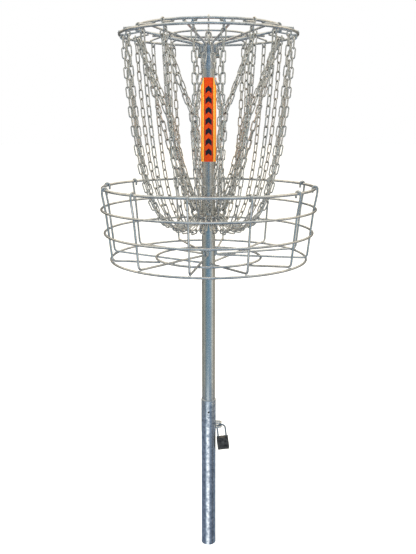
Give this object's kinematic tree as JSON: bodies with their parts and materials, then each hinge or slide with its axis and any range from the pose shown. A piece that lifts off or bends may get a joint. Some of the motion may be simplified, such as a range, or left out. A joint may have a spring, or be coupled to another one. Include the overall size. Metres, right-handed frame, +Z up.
{
  "type": "disc golf basket",
  "caption": "Galvanised disc golf target with a wire basket, two layers of hanging chain, an orange sleeve and a padlocked ground anchor.",
  "frame": {"origin": "on the pole's axis at ground level", "axes": "+Z up along the pole; -Y is the front; +X is to the right, on the padlock's side"},
  "size_m": [0.6749, 0.675, 1.674],
  "materials": {
    "galvanised_tube": "hot-dip galvanised, spangled",
    "galvanised_pole": "galvanised",
    "galvanised_wire": "hot-dip galvanised wire",
    "chain_zinc": "zinc-plated, welded links",
    "zinc_bolt": "zinc-plated",
    "black_steel": "black oxide",
    "black_plastic": "moulded plastic",
    "orange_plastic": "glossy orange plastic",
    "lock_body": "dark weathered case",
    "lock_shackle": "plated steel, dulled",
    "brass_plug": "brass core"
  },
  "bodies": {
    "ground_anchor": {"anchor_tube": "galvanised_tube", "anchor_lug": "galvanised_wire"},
    "pole_assembly": {"pole": "galvanised_pole", "pole_cap": "black_plastic", "lock_collar": "galvanised_tube", "collar_lug": "galvanised_wire", "collar_set_screw": "black_steel", "label_band": "orange_plastic", "basket_rim": "galvanised_wire", "basket_upper_ring": "galvanised_wire", "basket_lower_ring": "galvanised_wire", "basket_bottom_ring": "galvanised_wire", "basket_floor_ring": "galvanised_wire", "basket_floor_wires": "galvanised_wire", "basket_strut_wires": "galvanised_wire", "basket_short_wires": "galvanised_wire", "holder_sleeve": "galvanised_tube", "outer_hoop": "galvanised_wire", "top_ring": "galvanised_wire", "inner_ring": "galvanised_wire", "holder_arms": "galvanised_wire", "tie_bars": "galvanised_wire", "chain_eyes": "galvanised_wire", "cross_bolt": "zinc_bolt", "cross_bolt_nut": "zinc_bolt", "cross_bolt_washers": "zinc_bolt"},
    "chain_01": {"outer_chain_01": "chain_zinc"},
    "chain_02": {"outer_chain_02": "chain_zinc"},
    "chain_03": {"outer_chain_03": "chain_zinc"},
    "chain_04": {"outer_chain_04": "chain_zinc"},
    "chain_05": {"outer_chain_05": "chain_zinc"},
    "chain_06": {"outer_chain_06": "chain_zinc"},
    "chain_07": {"outer_chain_07": "chain_zinc"},
    "chain_08": {"outer_chain_08": "chain_zinc"},
    "chain_09": {"outer_chain_09": "chain_zinc"},
    "chain_10": {"outer_chain_10": "chain_zinc"},
    "chain_11": {"outer_chain_11": "chain_zinc"},
    "chain_12": {"outer_chain_12": "chain_zinc"},
    "chain_13": {"outer_chain_13": "chain_zinc"},
    "chain_14": {"outer_chain_14": "chain_zinc"},
    "chain_15": {"outer_chain_15": "chain_zinc"},
    "chain_16": {"outer_chain_16": "chain_zinc"},
    "chain_17": {"outer_chain_17": "chain_zinc"},
    "chain_18": {"outer_chain_18": "chain_zinc"},
    "chain_19": {"outer_chain_19": "chain_zinc"},
    "chain_20": {"outer_chain_20": "chain_zinc"},
    "inner_net": {"inner_upper_chains_left": "chain_zinc", "inner_upper_chains_right": "chain_zinc", "inner_lower_chains_left": "chain_zinc", "inner_lower_chains_right": "chain_zinc", "inner_chain_hooks": "chain_zinc", "chain_connectors": "chain_zinc"},
    "collector": {"collector_ring": "galvanised_wire"},
    "shackle": {"padlock_shackle": "lock_shackle"},
    "lock_case": {"padlock_body": "lock_body"},
    "key_core": {"padlock_key_plug": "brass_plug"}
  },
  "joints": [
    {"name": "pole_lift", "type": "slide", "parent": "ground_anchor", "child": "pole_assembly", "axis": [0, 0, 1], "range_m": [0, 0.38]},
    {"name": "outer_chain_swing_01", "type": "hinge", "parent": "pole_assembly", "child": "chain_01", "pos_m": [0.00578, -0.03647, 0.7325], "axis": [0.0598, -0.3777, 0.924], "range_deg": [-2, 2]},
    {"name": "outer_chain_swing_02", "type": "hinge", "parent": "pole_assembly", "child": "chain_02", "pos_m": [0.01676, -0.0329, 0.7325], "axis": [0.1736, -0.3408, 0.924], "range_deg": [-2, 2]},
    {"name": "outer_chain_swing_03", "type": "hinge", "parent": "pole_assembly", "child": "chain_03", "pos_m": [0.02611, -0.02611, 0.7325], "axis": [0.2704, -0.2704, 0.924], "range_deg": [-2, 2]},
    {"name": "outer_chain_swing_04", "type": "hinge", "parent": "pole_assembly", "child": "chain_04", "pos_m": [0.0329, -0.01676, 0.7325], "axis": [0.3408, -0.1736, 0.924], "range_deg": [-2, 2]},
    {"name": "outer_chain_swing_05", "type": "hinge", "parent": "pole_assembly", "child": "chain_05", "pos_m": [0.03647, -0.00578, 0.7325], "axis": [0.3777, -0.0598, 0.924], "range_deg": [-2, 2]},
    {"name": "outer_chain_swing_06", "type": "hinge", "parent": "pole_assembly", "child": "chain_06", "pos_m": [0.03647, 0.00578, 0.7325], "axis": [0.3777, 0.0598, 0.924], "range_deg": [-2, 2]},
    {"name": "outer_chain_swing_07", "type": "hinge", "parent": "pole_assembly", "child": "chain_07", "pos_m": [0.0329, 0.01676, 0.7325], "axis": [0.3408, 0.1736, 0.924], "range_deg": [-2, 2]},
    {"name": "outer_chain_swing_08", "type": "hinge", "parent": "pole_assembly", "child": "chain_08", "pos_m": [0.02611, 0.02611, 0.7325], "axis": [0.2704, 0.2704, 0.924], "range_deg": [-2, 2]},
    {"name": "outer_chain_swing_09", "type": "hinge", "parent": "pole_assembly", "child": "chain_09", "pos_m": [0.01676, 0.0329, 0.7325], "axis": [0.1736, 0.3408, 0.924], "range_deg": [-2, 2]},
    {"name": "outer_chain_swing_10", "type": "hinge", "parent": "pole_assembly", "child": "chain_10", "pos_m": [0.00578, 0.03647, 0.7325], "axis": [0.0598, 0.3777, 0.924], "range_deg": [-2, 2]},
    {"name": "outer_chain_swing_11", "type": "hinge", "parent": "pole_assembly", "child": "chain_11", "pos_m": [-0.00578, 0.03647, 0.7325], "axis": [-0.0598, 0.3777, 0.924], "range_deg": [-2, 2]},
    {"name": "outer_chain_swing_12", "type": "hinge", "parent": "pole_assembly", "child": "chain_12", "pos_m": [-0.01676, 0.0329, 0.7325], "axis": [-0.1736, 0.3408, 0.924], "range_deg": [-2, 2]},
    {"name": "outer_chain_swing_13", "type": "hinge", "parent": "pole_assembly", "child": "chain_13", "pos_m": [-0.02611, 0.02611, 0.7325], "axis": [-0.2704, 0.2704, 0.924], "range_deg": [-2, 2]},
    {"name": "outer_chain_swing_14", "type": "hinge", "parent": "pole_assembly", "child": "chain_14", "pos_m": [-0.0329, 0.01676, 0.7325], "axis": [-0.3408, 0.1736, 0.924], "range_deg": [-2, 2]},
    {"name": "outer_chain_swing_15", "type": "hinge", "parent": "pole_assembly", "child": "chain_15", "pos_m": [-0.03647, 0.00578, 0.7325], "axis": [-0.3777, 0.0598, 0.924], "range_deg": [-2, 2]},
    {"name": "outer_chain_swing_16", "type": "hinge", "parent": "pole_assembly", "child": "chain_16", "pos_m": [-0.03647, -0.00578, 0.7325], "axis": [-0.3777, -0.0598, 0.924], "range_deg": [-2, 2]},
    {"name": "outer_chain_swing_17", "type": "hinge", "parent": "pole_assembly", "child": "chain_17", "pos_m": [-0.0329, -0.01676, 0.7325], "axis": [-0.3408, -0.1736, 0.924], "range_deg": [-2, 2]},
    {"name": "outer_chain_swing_18", "type": "hinge", "parent": "pole_assembly", "child": "chain_18", "pos_m": [-0.02611, -0.02611, 0.7325], "axis": [-0.2704, -0.2704, 0.924], "range_deg": [-2, 2]},
    {"name": "outer_chain_swing_19", "type": "hinge", "parent": "pole_assembly", "child": "chain_19", "pos_m": [-0.01676, -0.0329, 0.7325], "axis": [-0.1736, -0.3408, 0.924], "range_deg": [-2, 2]},
    {"name": "outer_chain_swing_20", "type": "hinge", "parent": "pole_assembly", "child": "chain_20", "pos_m": [-0.00578, -0.03647, 0.7325], "axis": [-0.0598, -0.3777, 0.924], "range_deg": [-2, 2]},
    {"name": "inner_net_twist", "type": "hinge", "parent": "pole_assembly", "child": "inner_net", "pos_m": [0, 0, 1], "axis": [0, 0, 1], "range_deg": [-0.6, 0.6]},
    {"name": "collector_ring_turn", "type": "hinge", "parent": "inner_net", "child": "collector", "pos_m": [0, 0, 0.73], "axis": [0, 0, 1], "continuous": true},
    {"name": "padlock_swing", "type": "hinge", "parent": "ground_anchor", "child": "shackle", "pos_m": [0.0405, 0, 0.0405], "axis": [0, -1, 0], "range_deg": [-2.5, 38]},
    {"name": "shackle_release", "type": "slide", "parent": "shackle", "child": "lock_case", "axis": [0.1132, 0, -0.9936], "range_m": [0, 0.012]},
    {"name": "key_turn", "type": "hinge", "parent": "lock_case", "child": "key_core", "pos_m": [0.0413, 0, 0.03345], "axis": [0.1132, 0, -0.9936], "range_deg": [0, 90]}
  ]
}
